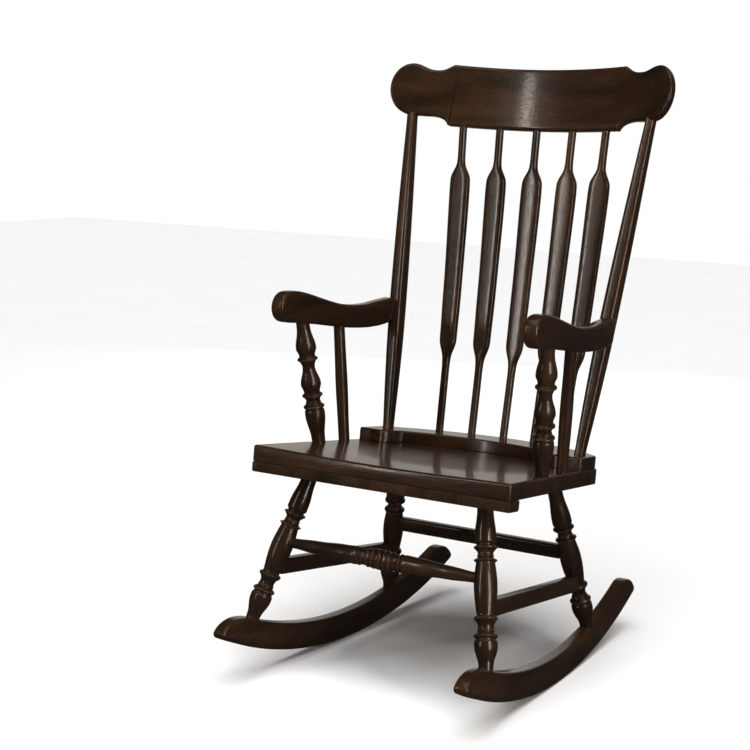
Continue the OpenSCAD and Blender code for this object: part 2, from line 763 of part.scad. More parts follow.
seat_plank();
seat_lip();
seat_riser();
rocker(1);  // rocker_left
rocker(-1);  // rocker_right
leg("front", 1);  // leg_front_left
leg("front", -1);  // leg_front_right
leg("rear", 1);  // leg_rear_left
leg("rear", -1);  // leg_rear_right
stretcher_front();
stretcher_rear();
stretcher_side(1);  // stretcher_left
stretcher_side(-1);  // stretcher_right
back_post(1);  // back_post_left
back_post(-1);  // back_post_right
spindle(0);  // back_spindle_1
spindle(1);  // back_spindle_2
spindle(2);  // back_spindle_3
spindle(3);  // back_spindle_4
spindle(4);  // back_spindle_5
crest_rail();
arm(1);  // arm_left
arm(-1);  // arm_right
side(1) arm_turning(arm_support_top, arm_support_foot, arm_support_keys);  // arm_support_left
side(-1) arm_turning(arm_support_top, arm_support_foot, arm_support_keys);  // arm_support_right
side(1) arm_turning(arm_spindle_top, arm_spindle_foot, arm_spindle_keys);  // arm_spindle_left
side(-1) arm_turning(arm_spindle_top, arm_spindle_foot, arm_spindle_keys);  // arm_spindle_right
rocker_bolts();
leg_inserts();
post_bolts();
post_inserts();
riser_screws();
lip_screws();
arm_bolts();
arm_plugs();
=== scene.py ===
"""Looks of the wooden rocking chair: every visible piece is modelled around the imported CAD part.

Lengths are metres, +Z is up, the chair faces -Y and +X is the sitter's left.
"""

import math
import random

import bmesh
import bpy
from mathutils import Matrix, Vector


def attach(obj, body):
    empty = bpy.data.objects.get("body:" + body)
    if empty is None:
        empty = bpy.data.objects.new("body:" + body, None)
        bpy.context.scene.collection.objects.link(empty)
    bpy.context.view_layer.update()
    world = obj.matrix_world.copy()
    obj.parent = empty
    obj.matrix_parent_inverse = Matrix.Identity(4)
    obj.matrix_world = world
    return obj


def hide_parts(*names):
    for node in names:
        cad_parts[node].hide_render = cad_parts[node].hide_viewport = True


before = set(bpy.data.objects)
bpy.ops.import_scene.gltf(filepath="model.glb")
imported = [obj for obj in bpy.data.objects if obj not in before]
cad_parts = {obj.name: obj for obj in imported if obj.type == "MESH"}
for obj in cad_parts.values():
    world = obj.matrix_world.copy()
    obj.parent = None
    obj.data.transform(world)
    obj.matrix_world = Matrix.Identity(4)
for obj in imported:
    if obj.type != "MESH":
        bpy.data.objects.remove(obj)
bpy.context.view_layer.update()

MM = 0.001
SAME_POINT = 1e-6
FLAT = 0.9999   # least cosine between the normals of neighbouring faces of one flat patch
X_AXIS = Vector((1, 0, 0))
Y_AXIS = Vector((0, 1, 0))
UP = Vector((0, 0, 1))

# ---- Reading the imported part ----


def welded(node):
    """A CAD node's mesh with its doubled points joined."""
    bm = bmesh.new()
    bm.from_mesh(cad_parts[node].data)
    bmesh.ops.remove_doubles(bm, verts=bm.verts, dist=SAME_POINT)
    bm.normal_update()
    return bm


def patch(seed, smoothness):
    """The faces round seed that meet at no more than a slight bend, always in the same order."""
    found = {seed: True}
    queue = [seed]
    while queue:
        face = queue.pop()
        for edge in face.edges:
            for other in edge.link_faces:
                if other not in found and other.normal.dot(face.normal) > smoothness:
                    found[other] = True
                    queue.append(other)
    return found


def end_cap(node, toward):
    """Centre and outward normal of the flat end that reaches furthest in a direction."""
    bm = welded(node)
    way = Vector(toward)
    tip = max(bm.verts, key=lambda v: v.co.dot(way))
    cap = max(tip.link_faces, key=lambda f: f.normal.dot(way))
    points = {v.index: v.co.copy() for f in patch(cap, FLAT) for v in f.verts}
    normal = cap.normal.copy()
    bm.free()
    return sum(points.values(), Vector()) / len(points), normal


def perimeter(loop):
    return sum((a - b).length for a, b in zip(loop, loop[1:] + loop[:1]))


def face_outline(node, facing, smoothness=FLAT):
    """Outline of a CAD node's broad face: its longest edge loop, its normal, and the node's thickness."""
    bm = welded(node)
    way = Vector(facing).normalized()
    seed = max((f for f in bm.faces if f.normal.dot(way) > 0.9), key=lambda f: f.calc_area())
    faces = patch(seed, smoothness)
    normal = sum((f.normal * f.calc_area() for f in faces), Vector()).normalized()
    links = {}
    for face in faces:
        for edge in face.edges:
            if sum(other in faces for other in edge.link_faces) == 1:
                a, b = edge.verts
                links.setdefault(a, []).append(b)
                links.setdefault(b, []).append(a)
    loops = []
    while links:
        start = next(iter(links))
        loop = [start]
        while links.get(loop[-1]):
            following = links[loop[-1]].pop()
            links[following].remove(loop[-1])
            if following is start:
                break
            loop.append(following)
        links = {v: n for v, n in links.items() if n}
        loops.append([v.co.copy() for v in loop])
    depths = [v.co.dot(normal) for v in bm.verts]
    bm.free()
    return max(loops, key=perimeter), normal, max(depths) - min(depths)


def section_sizes(node, place, heights):
    """Half width and half depth of a CAD node, cut square to place's z axis at each height."""
    bm = welded(node)
    inverse = place.inverted()
    edges = [(inverse @ e.verts[0].co, inverse @ e.verts[1].co) for e in bm.edges]
    bm.free()
    sizes = []
    for height in heights:
        cut = []
        for a, b in edges:
            if (a.z - height) * (b.z - height) < 0:
                cut.append(a.lerp(b, (height - a.z) / (b.z - a.z)))
        sizes.append((max(abs(p.x) for p in cut), max(abs(p.y) for p in cut)))
    return sizes


def axes(origin, z, x_hint=X_AXIS):
    """A placing matrix with its z axis along z and its x axis as near x_hint as can be."""
    z = z.normalized()
    x = (x_hint - z * x_hint.dot(z)).normalized()
    y = z.cross(x)
    matrix = Matrix((x, y, z)).transposed().to_4x4()
    matrix.translation = origin
    return matrix


# ---- Making meshes ----

SMOOTH_ANGLE = math.radians(38)
# Convexity range over which sharp edges get a lighter colour: partly real wear, partly a painted highlight of
# edge gloss
WEAR_AND_HIGHLIGHT_FROM, WEAR_AND_HIGHLIGHT_TO = 75, 230
SHORTEST_EDGE = 2e-4
MERGE = 2e-5


def convexity(vert):
    """How sharply the surface turns outwards at a point, in 1/m."""
    turns = [e.calc_face_angle_signed(0) / max(e.calc_length(), SHORTEST_EDGE)
             for e in vert.link_edges if e.is_manifold]
    return sum(turns) / max(len(turns), 1)


def finish_piece(bm, name, nodes, place, material):
    """Makes an object of bm that stands for CAD nodes. The grain runs along place's z axis."""
    bmesh.ops.remove_doubles(bm, verts=bm.verts, dist=MERGE)
    bmesh.ops.recalc_face_normals(bm, faces=bm.faces)
    mesh = bpy.data.meshes.new(name)
    # How much lighter and redder each point is painted: real wear on sharp edges, plus a painted highlight
    # where gloss catches them
    sharp = [max(0.0, min(1.0, (convexity(v) - WEAR_AND_HIGHLIGHT_FROM) / (WEAR_AND_HIGHLIGHT_TO - WEAR_AND_HIGHLIGHT_FROM))) for v in bm.verts]
    bm.to_mesh(mesh)
    bm.free()
    offset = Vector([random.uniform(-4, 4) for _ in range(3)])
    inverse = place.inverted()
    grain = [c for v in mesh.vertices for c in inverse @ v.co + offset]
    mesh.attributes.new("grain", "FLOAT_VECTOR", "POINT").data.foreach_set("vector", grain)
    mesh.attributes.new("edge_wear_and_highlight", "FLOAT", "POINT").data.foreach_set("value", sharp)
    mesh.shade_smooth()
    mesh.set_sharp_from_angle(angle=SMOOTH_ANGLE)
    mesh.materials.append(material)
    piece = bpy.data.objects.new(name, mesh)
    bpy.context.scene.collection.objects.link(piece)
    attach(piece, "root")
    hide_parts(*nodes)
    return piece


def skin(bm, rings):
    """Joins closed rings of points, and closes both ends."""
    rows = [[bm.verts.new(p) for p in ring] for ring in rings]
    count = len(rows[0])
    for a, b in zip(rows, rows[1:]):
        for i in range(count):
            j = (i + 1) % count
            bm.faces.new((a[i], a[j], b[j], b[i]))
    bm.faces.new(rows[0][::-1])
    bm.faces.new(rows[-1])


def eased(kind, t):
    """Course from one key to the next: straight, an S, or a quarter round that starts steep or flat."""
    return {"line": t, "s": (1 - math.cos(math.pi * t)) / 2,
            "steep": math.sin(math.pi * t / 2), "flat": 1 - math.cos(math.pi * t / 2)}[kind]


TURN_STEPS = 7
TURN_SIDES = 56


def profile(keys):
    """Points [share, radius] of a turning, from keys (share, radius in mm, how the key is reached)."""
    points = [(keys[0][0], keys[0][1])]
    for (t0, r0, _), (t1, r1, kind) in zip(keys, keys[1:]):
        for i in range(1, TURN_STEPS + 1):
            f = i / TURN_STEPS
            points.append((t0 + (t1 - t0) * f, r0 + (r1 - r0) * eased(kind, f)))
    return points


def turning(name, node, start, end, keys, material, reach=0.006):
    """A turned piece between two points. Each end reaches on into its neighbour."""
    axis = end - start
    place = axes(start, axis)
    length = axis.length
    rows = [(share * length, radius * MM) for share, radius in profile(keys)]
    rows = [(-reach, rows[0][1])] + rows + [(length + reach, rows[-1][1])]
    bm = bmesh.new()
    rings = []
    for height, radius in rows:
        rings.append([place @ Vector((radius * math.cos(a), radius * math.sin(a), height))
                      for a in (2 * math.pi * i / TURN_SIDES for i in range(TURN_SIDES))])
    skin(bm, rings)
    return finish_piece(bm, name, [node], place, material)


LOFT_SIDES = 48


def rounded_section(half_w, half_d, power):
    """Points of a rounded rectangle: an ellipse at power 2, squarer above it."""
    points = []
    for i in range(LOFT_SIDES):
        a = 2 * math.pi * (i + 0.5) / LOFT_SIDES
        c, s = math.cos(a), math.sin(a)
        points.append((half_w * math.copysign(abs(c) ** (2 / power), c),
                       half_d * math.copysign(abs(s) ** (2 / power), s)))
    return points


def loft(name, node, place, stations, material, bow=None):
    """A stick of rounded sections. Stations are (height, half width, half depth, power)."""
    bm = bmesh.new()
    rings = []
    for height, half_w, half_d, power in stations:
        shift = bow(height) if bow else 0
        section = rounded_section(half_w, half_d, power)
        rings.append([place @ Vector((x, y + shift, height)) for x, y in section])
    skin(bm, rings)
    return finish_piece(bm, name, [node], place, material)


CORNER_TURN = math.radians(24)


def bend(before, at, after):
    """Signed turn of a flat path at a point, or 0 where two of the points coincide."""
    return (at - before).angle_signed(after - at, 0) if (at - before).length * (after - at).length else 0


def even_loop(loop, step, passes, corner_r):
    """A flat outline with even steps, its gentle bends smoothed and its corners rounded off."""
    count = len(loop)
    points = []
    for i in range(count):
        a, b = loop[i], loop[(i + 1) % count]
        corner = abs(bend(loop[i - 1], a, b)) > CORNER_TURN
        parts = max(1, round((b - a).length / step))
        points.append((a, corner))
        points += [(a.lerp(b, k / parts), False) for k in range(1, parts)]
    flat = [p for p, _ in points]
    fixed = [c for _, c in points]
    for _ in range(passes):
        flat = [p if fixed[i] else p * 0.5 + (flat[i - 1] + flat[(i + 1) % len(flat)]) * 0.25
                for i, p in enumerate(flat)]
    if corner_r:
        flat = round_corners(flat, fixed, corner_r)
    return flat


def walk(loop, i, way, distance):
    """The point at a distance along a loop from its point i, and the index passed."""
    count = len(loop)
    at = loop[i]
    while True:
        following = loop[(i + way) % count]
        length = (following - at).length
        if length >= distance:
            return at.lerp(following, distance / length), i
        distance -= length
        at = following
        i = (i + way) % count


def round_corners(loop, fixed, radius):
    """Replaces each fixed corner by an arc-like curve."""
    count = len(loop)
    drop = set()
    curves = {}
    for i in range(count):
        if not fixed[i]:
            continue
        turn = abs(bend(walk(loop, i, -1, 0.002)[0], loop[i], walk(loop, i, 1, 0.002)[0]))
        if turn < CORNER_TURN:
            continue
        cut = min(radius * math.tan(turn / 2), 2.2 * radius)
        a, ia = walk(loop, i, -1, cut)
        b, ib = walk(loop, i, 1, cut)
        k = i
        while k != ia:
            drop.add(k)
            k = (k - 1) % count
        k = i
        while k != ib:
            drop.add(k)
            k = (k + 1) % count
        drop.update((ia, ib))
        corner = loop[i]
        weight = math.cos(turn / 2)
        curve = []
        for j in range(9):
            t = j / 8
            w0, w1, w2 = (1 - t) ** 2, 2 * t * (1 - t) * weight, t * t
            curve.append((a * w0 + corner * w1 + b * w2) / (w0 + w1 + w2))
        curves[i] = curve
    result = []
    for i in range(count):
        if i in curves:
            result += curves[i]
        elif i not in drop:
            result.append(loop[i])
    return result


def signed_area(loop):
    return sum(a.x * b.y - b.x * a.y for a, b in zip(loop, loop[1:] + loop[:1])) / 2


def inset(loop, distance):
    """Moves an anticlockwise outline inwards."""
    result = []
    count = len(loop)
    for i in range(count):
        a = (loop[i] - loop[i - 1]).normalized()
        b = (loop[(i + 1) % count] - loop[i]).normalized()
        na, nb = Vector((a.y, -a.x)), Vector((b.y, -b.x))
        mitre = (na + nb) / max(1 + na.dot(nb), 0.4)
        result.append(loop[i] - mitre * distance)
    return result


FILLET_STEPS = 6
GUARD = 0.0008


def board_rings(loop, low, high, low_fillet, high_fillet):
    """Rings of a flat board with rounded edges, as (2D outline, height) from low to high."""
    rings = [(inset(loop, low_fillet + GUARD), low)]
    for i in range(FILLET_STEPS + 1):
        a = math.pi / 2 * i / FILLET_STEPS
        rings.append((inset(loop, low_fillet * (1 - math.sin(a))), low + low_fillet * (1 - math.cos(a))))
    for i in range(FILLET_STEPS + 1):
        a = math.pi / 2 * (1 - i / FILLET_STEPS)
        rings.append((inset(loop, high_fillet * (1 - math.sin(a))), high - high_fillet * (1 - math.cos(a))))
    rings.append((inset(loop, high_fillet + GUARD), high))
    return rings


def flat_frame(loop, normal, along):
    """Frame on an outline's plane: x along the given direction, z along the normal."""
    x = (along - normal * along.dot(normal)).normalized()
    y = normal.cross(x)
    matrix = Matrix((x, y, normal)).transposed().to_4x4()
    matrix.translation = sum(loop, Vector()) / len(loop)
    return matrix


def board_outline(node, facing, along, step=0.003, passes=8, corner_r=0.0, smoothness=FLAT):
    """Frame, smoothed outline and thickness of a CAD board."""
    loop, normal, thickness = face_outline(node, facing, smoothness)
    place = flat_frame(loop, normal, along)
    inverse = place.inverted()
    flat = [(inverse @ p).to_2d() for p in loop]
    if signed_area(flat) < 0:
        flat.reverse()
    return place, even_loop(flat, step, passes, corner_r), thickness


def grain_along(place, axis):
    """Frame for the grain that runs along one of place's axes (0, 1 or 2)."""
    turns = {0: Matrix.Rotation(math.pi / 2, 4, "Y"), 1: Matrix.Rotation(-math.pi / 2, 4, "X"), 2: Matrix()}
    return place @ turns[axis]


def board(name, node, facing, along, fillet, material, low_fillet=None, **outline):
    """A flat board with rounded edges. The CAD face that looks along facing is its high side."""
    place, loop, thickness = board_outline(node, facing, along, **outline)
    low = fillet if low_fillet is None else low_fillet
    bm = bmesh.new()
    skin(bm, [[place @ Vector((p.x, p.y, h)) for p in ring]
              for ring, h in board_rings(loop, -thickness, 0, low, fillet)])
    return finish_piece(bm, name, [node], grain_along(place, 0), material)


# ---- Materials ----


class Nodes:
    """Short forms for building a material's node tree."""

    def __init__(self, name):
        self.material = bpy.data.materials.new(name)
        self.material.use_nodes = True
        self.tree = self.material.node_tree
        self.shader = self.tree.nodes["Principled BSDF"]

    def add(self, kind, inputs=None, **settings):
        node = self.tree.nodes.new(kind)
        for key, value in settings.items():
            setattr(node, key, value)
        for key, value in (inputs or {}).items():
            if isinstance(value, bpy.types.NodeSocket):
                self.tree.links.new(value, node.inputs[key])
            else:
                node.inputs[key].default_value = value
        return node

    def set(self, **values):
        for key, value in values.items():
            socket = self.shader.inputs[key.replace("_", " ")]
            if isinstance(value, bpy.types.NodeSocket):
                self.tree.links.new(value, socket)
            else:
                socket.default_value = value

    def noise(self, vector, scale, detail=4.0, roughness=0.55, distortion=0.0):
        node = self.add("ShaderNodeTexNoise", {"Vector": vector, "Scale": scale, "Detail": detail,
                                               "Roughness": roughness, "Distortion": distortion})
        return node.outputs["Fac"]

    def stretch(self, vector, x, y, z):
        return self.add("ShaderNodeMapping", {"Vector": vector, "Scale": (x, y, z)}).outputs["Vector"]

    def ramp(self, value, low, high, out_low=0.0, out_high=1.0):
        return self.add("ShaderNodeMapRange", {"Value": value, "From Min": low, "From Max": high,
                                               "To Min": out_low, "To Max": out_high}).outputs["Result"]

    def math(self, operation, a, b):
        return self.add("ShaderNodeMath", {0: a, 1: b}, operation=operation).outputs["Value"]

    def colours(self, value, stops):
        node = self.add("ShaderNodeValToRGB", {"Fac": value})
        ramp = node.color_ramp
        while len(ramp.elements) < len(stops):
            ramp.elements.new(0.5)
        for element, (place, colour) in zip(ramp.elements, stops):
            element.position = place
            element.color = (*colour, 1)
        return node.outputs["Color"]

    def mix(self, factor, a, b, blend="MIX"):
        node = self.add("ShaderNodeMix", data_type="RGBA", blend_type=blend)
        for socket, value in ((node.inputs["Factor"], factor), (node.inputs[6], a), (node.inputs[7], b)):
            if isinstance(value, bpy.types.NodeSocket):
                self.tree.links.new(value, socket)
            else:
                socket.default_value = value
        return node.outputs[2]


def stained_wood(name, carried=False):
    """Dark stained hardwood under gloss lacquer, its sharp edges painted lighter and redder: partly real
    wear, partly a painted highlight. A carried-over CAD node has no grain attribute and no such edges.
    """
    n = Nodes(name)
    if carried:
        coords = n.add("ShaderNodeTexCoord").outputs["Object"]
    else:
        coords = n.add("ShaderNodeAttribute", attribute_name="grain").outputs["Vector"]
    # Broad bands of darker and redder stain, then fibres, then open pores
    bands = n.noise(n.stretch(coords, 1, 1, 0.10), 24, 3, 0.5, 0.35)
    fibre = n.noise(n.stretch(coords, 1, 1, 0.035), 420, 5, 0.62)
    pores = n.noise(n.stretch(coords, 1, 1, 0.055), 1350, 2, 0.5)
    mottle = n.noise(coords, 60, 3, 0.5)
    tone = n.math("ADD", n.math("MULTIPLY", bands, 0.55), n.math("MULTIPLY", fibre, 0.45))
    stain = n.colours(tone, [(0.34, (0.0070, 0.0032, 0.0014)), (0.46, (0.0165, 0.0076, 0.0030)),
                             (0.56, (0.0290, 0.0130, 0.0048)), (0.68, (0.0480, 0.0210, 0.0078))])
    pore_mask = n.ramp(pores, 0.56, 0.66)
    stained = n.mix(n.math("MULTIPLY", pore_mask, 0.6), stain, (0.007, 0.0035, 0.0026, 1))
    if carried:
        colour = stained
    else:
        # Lighter, redder colour on sharp edges, broken up by mottle: partly real wear through the stain,
        # partly a painted highlight of the lacquer's edge gloss
        edge_wear_and_highlight_mask = n.add("ShaderNodeAttribute", attribute_name="edge_wear_and_highlight").outputs["Fac"]
        patchy_wear_and_highlight = n.math("MULTIPLY", edge_wear_and_highlight_mask, n.ramp(mottle, 0.40, 0.66, 0.10, 0.62))
        colour = n.mix(patchy_wear_and_highlight, stained, (0.066, 0.029, 0.014, 1))
    height = n.math("SUBTRACT", n.math("MULTIPLY", fibre, 0.35), pore_mask)
    bump = n.add("ShaderNodeBump", {"Height": height, "Strength": 0.32, "Distance": 0.00022})
    film = n.add("ShaderNodeBump", {"Height": height, "Strength": 0.13, "Distance": 0.00018})
    roughness = n.ramp(n.math("ADD", n.math("MULTIPLY", fibre, 0.6), n.math("MULTIPLY", mottle, 0.4)),
                       0.35, 0.65, 0.30, 0.46)
    n.set(Base_Color=colour, Roughness=roughness, Normal=bump.outputs["Normal"],
          Specular_IOR_Level=0.2, Coat_Weight=1.0, Coat_Roughness=0.11, Coat_IOR=1.5,
          Coat_Normal=film.outputs["Normal"])
    return n.material


def zinc_steel():
    """Zinc-plated steel of the fasteners, with the fine lines of the tool and a few dull patches."""
    n = Nodes("zinc_steel")
    coords = n.add("ShaderNodeTexCoord").outputs["Object"]
    patches = n.noise(coords, 240, 3)
    lines = n.noise(n.stretch(coords, 1, 1, 14), 900, 3)
    colour = n.colours(patches, [(0.35, (0.42, 0.43, 0.45)), (0.65, (0.60, 0.60, 0.61))])
    bump = n.add("ShaderNodeBump", {"Height": lines, "Strength": 0.2, "Distance": 0.0001})
    n.set(Base_Color=colour, Metallic=1.0, Roughness=n.ramp(patches, 0.35, 0.65, 0.24, 0.42),
          Normal=bump.outputs["Normal"])
    return n.material


def pale_floor():
    """Seamless studio paper: nearly white, with a trace of tone."""
    n = Nodes("studio_paper")
    coords = n.add("ShaderNodeTexCoord").outputs["Object"]
    tone = n.noise(coords, 3, 2)
    n.set(Base_Color=n.colours(tone, [(0.3, (0.86, 0.86, 0.865)), (0.7, (0.88, 0.88, 0.88))]), Roughness=0.9,
          Specular_IOR_Level=0.1)
    return n.material


random.seed(7)
wood = stained_wood("lacquered_wood")
plug_wood = stained_wood("lacquered_wood_plugs", carried=True)
steel = zinc_steel()

# ---- Frames that several pieces share ----

SIDES = {"left": 1, "right": -1}
TOP_TENON, FOOT_TENON, ARM_TENON, STRETCHER_TENON = 0.019, 0.026, 0.019, 0.013
POST_FOOT_TENON, POST_TOP_TENON = 0.018, 0.030
SPINDLE_FOOT_TENON, SPINDLE_TOP_TENON = 0.018, 0.024


def between_tenons(node, first_way, last_way, first_tenon, last_tenon):
    """The two shoulders of a stick, found from the flat ends of its tenons."""
    first, n1 = end_cap(node, first_way)
    last, n2 = end_cap(node, last_way)
    return first - n1 * first_tenon, last - n2 * last_tenon


_, seat_down, _ = face_outline("seat_plank", (0, 0, -1))
seat_normal = -seat_down

# ---- Seat ----

SCOOP, SCOOP_HALF, SCOOP_RISE = 0.0045, 0.235, math.radians(1.4)
DISH, DISH_HALF, DISH_BACK = 0.005, 0.200, 0.215
SOFTNESS = 0.0012
SEAT_ROUND_TOP, SEAT_ROUND_LOW = 0.0052, 0.003
SEAT_RINGS = 40


def softly_least(values):
    """The least of some values, with the change-over rounded."""
    return -SOFTNESS * math.log(sum(math.exp(-v / SOFTNESS) for v in values))


def seat_height(x, y):
    """Height of the seat's top, x across and y back from the front edge, against its flat rim."""
    scoop = -SCOOP + x * x * SCOOP / SCOOP_HALF ** 2 + y * math.tan(SCOOP_RISE)
    dish = -DISH + (x * x + (y - DISH_BACK) ** 2) * DISH / DISH_HALF ** 2
    # The second term makes up, roughly, for what the rounding takes off the rim
    return softly_least([0, scoop, dish]) + SOFTNESS * math.log(1 + math.exp(-4) + math.exp(-4))


def make_seat():
    """The plank: a rounded rim, and a top that is scooped at the front and dished in the middle."""
    place, loop, thickness = board_outline("seat_plank", (0, 0, -1), X_AXIS, passes=6, corner_r=0.007)
    # Turned over, so that z points up out of the seat
    flip = place @ Matrix.Rotation(math.pi, 4, "X")
    loop = [Vector((p.x, -p.y)) for p in loop][::-1]
    front = min(p.y for p in loop)
    rings = board_rings(loop, 0, thickness, SEAT_ROUND_LOW, SEAT_ROUND_TOP)
    middle = sum(loop, Vector((0, 0))) / len(loop)
    inner, height = rings[-1]
    for i in range(1, SEAT_RINGS):
        share = 1 - i / SEAT_RINGS
        rings.append(([middle + (p - middle) * share for p in inner], height))
    bm = bmesh.new()
    points = []
    for ring, height in rings:
        lift = max(0.0, (height - SEAT_ROUND_LOW) / (thickness - SEAT_ROUND_LOW))
        points.append([flip @ Vector((p.x, p.y, height + lift * seat_height(p.x, p.y - front)))
                       for p in ring])
    skin(bm, points)
    return finish_piece(bm, "seat_plank_wood", ["seat_plank"], grain_along(flip, 0), wood)


make_seat()
board("seat_lip_wood", "seat_lip", (1, 0, 0), seat_normal, 0.003, wood, passes=2)
board("seat_riser_wood", "seat_riser", (0, 0, 1), X_AXIS, 0.0042, wood, low_fillet=0.0008, passes=5,
      corner_r=0.007)

# ---- Rockers ----

for side, s in SIDES.items():
    board(f"rocker_{side}_wood", f"rocker_{side}", (s, 0, 0), Y_AXIS, 0.0055, wood, passes=5,
          corner_r=0.009)

# ---- Legs ----

LEG = [(0, 13.9, ""), (0.107, 14.9, "line"), (0.255, 19.4, "s"), (0.284, 19.5, "s"), (0.301, 16.1, "flat"),
       (0.3055, 16.0, "line"), (0.312, 19.8, "line"), (0.317, 21.2, "steep"), (0.322, 21.2, "s"),
       (0.327, 19.6, "flat"), (0.334, 17.4, "line"), (0.353, 14.0, "steep"), (0.358, 13.9, "s"),
       (0.365, 15.2, "steep"), (0.372, 14.4, "flat"), (0.383, 17.6, "flat"), (0.388, 20.6, "line"),
       (0.392, 21.3, "steep"), (0.396, 20.6, "flat"), (0.4035, 17.2, "line"), (0.409, 17.3, "line"),
       (0.536, 21.3, "steep"), (0.694, 16.3, "flat"), (0.702, 16.2, "line"), (0.709, 19.9, "line"),
       (0.716, 21.5, "steep"), (0.723, 20.8, "flat"), (0.742, 16.1, "s"), (0.765, 13.9, "steep"),
       (0.777, 14.1, "s"), (0.785, 15.6, "steep"), (0.792, 14.9, "flat"), (0.802, 18.1, "flat"),
       (0.809, 20.6, "line"), (0.816, 21.5, "steep"), (0.823, 20.6, "flat"), (0.831, 18.0, "line"),
       (0.836, 18.2, "line"), (0.849, 20.6, "steep"), (0.873, 20.9, "steep"), (0.985, 13.3, "s"),
       (1, 13.1, "line")]

for corner in ("front", "rear"):
    for side in SIDES:
        node = f"leg_{corner}_{side}"
        shoulders = between_tenons(node, (0, 0, 1), (0, 0, -1), TOP_TENON, FOOT_TENON)
        turning(node + "_wood", node, *shoulders, LEG, wood)

# ---- Stretchers ----

HALF_STRETCHER = [(0, 9.5, ""), (0.30, 12.8, "s"), (0.60, 16.2, "s"), (0.735, 17.2, "s"),
                  (0.756, 14.0, "flat"), (0.764, 13.8, "line"), (0.772, 16.9, "steep"), (0.780, 17.4, "s"), (0.789, 14.0, "flat"),
                  (0.806, 13.0, "s"), (0.828, 15.6, "s"), (0.846, 12.8, "s"), (0.858, 13.2, "line"),
                  (0.874, 17.9, "steep"), (0.890, 17.6, "s"), (0.905, 14.6, "flat"), (0.915, 15.0, "line"),
                  (0.935, 19.0, "steep"), (0.950, 18.0, "flat"), (0.962, 15.4, "s"), (0.975, 18.6, "steep"),
                  (1, 19.4, "steep")]


def mirrored(keys):
    """A whole turning from the keys of its first half."""
    swap = {"steep": "flat", "flat": "steep"}
    half = [(share / 2, radius, kind) for share, radius, kind in keys]
    kinds = [swap.get(k[2], k[2]) for k in half[:0:-1]]
    return half + [(1 - k[0], k[1], kind) for k, kind in zip(half[-2::-1], kinds)]


ends = between_tenons("stretcher_front", (-1, 0, 0), (1, 0, 0), STRETCHER_TENON, STRETCHER_TENON)
turning("stretcher_front_wood", "stretcher_front", *ends, mirrored(HALF_STRETCHER), wood, reach=0.003)


SAWN_POWER = 5.2
SAWN_ROUND = 0.0035   # length over which a sawn end rounds in


def sawn_stretcher(node, ways, half_w, half_h):
    """A sawn stretcher with eased edges and ends that round in to the legs."""
    first, last = between_tenons(node, *ways, STRETCHER_TENON, STRETCHER_TENON)
    place = axes(first, last - first, UP)
    length = (last - first).length
    stations = []
    for i in range(7):
        a = math.pi / 2 * i / 6
        stations.append((SAWN_ROUND * (1 - math.cos(a)) - 0.001, 1 - 0.10 * (1 - math.sin(a))))
    heights = [(h, k) for h, k in stations] + [(length * i / 12, 1) for i in range(1, 12)]
    heights += [(length - h, k) for h, k in stations[::-1]]
    sections = [(h, half_h * k, half_w * k, SAWN_POWER) for h, k in heights]
    loft(node + "_wood", node, place, sections, wood)


sawn_stretcher("stretcher_rear", ((-1, 0, 0), (1, 0, 0)), 0.011, 0.0142)
for side in SIDES:
    sawn_stretcher(f"stretcher_{side}", ((0, -1, 0), (0, 1, 0)), 0.0115, 0.0157)

# ---- Back ----

POST_POWER = 4.2

post_axes = []
for side in SIDES:
    node = f"back_post_{side}"
    foot, top = between_tenons(node, (0, 0, -1), (0, 0, 1), POST_FOOT_TENON, POST_TOP_TENON)
    place = axes(foot, top - foot)
    length = (top - foot).length
    post_axes.append((top - foot).normalized())
    heights = [length * (0.02 + 0.96 * i / 48) for i in range(49)]
    sizes = section_sizes(node, place, heights)
    stations = [(-0.004, *sizes[0], POST_POWER)]
    stations += [(h, w, d, POST_POWER) for h, (w, d) in zip(heights, sizes)]
    stations.append((length + 0.004, *sizes[-1], POST_POWER))
    loft(node + "_wood", node, place, stations, wood)
back_up = (post_axes[0] + post_axes[1]).normalized()

SPINDLE_BOW = 0.008
for i in range(1, 6):
    node = f"back_spindle_{i}"
    foot, top = between_tenons(node, (0, 0, -1), (0, 0, 1), SPINDLE_FOOT_TENON, SPINDLE_TOP_TENON)
    place = axes(foot, top - foot)
    length = (top - foot).length
    heights = [length * (0.025 + 0.95 * k / 110) for k in range(111)]
    sizes = section_sizes(node, place, heights)
    neck = min(w for w, _ in sizes)
    stations = []
    for h, (w, d) in zip([-0.006] + heights + [length + 0.006], [sizes[0]] + sizes + [sizes[-1]]):
        flatness = max(0.0, min(1.0, (w - neck) / (0.9 * neck)))
        depth = neck + (max(d - neck, -0.0006) if flatness else 0)
        stations.append((h, w, depth, 2 + 2.6 * flatness ** 0.8))
    loft(node + "_wood", node, place, stations, wood,
         bow=lambda h: SPINDLE_BOW * math.sin(math.pi * max(0, min(1, h / length))))


CREST_THICKNESS = 0.024
CREST_ROUND_BACK, CREST_ROUND_FRONT = 0.0075, 0.0065
CREST_CUTS = 80


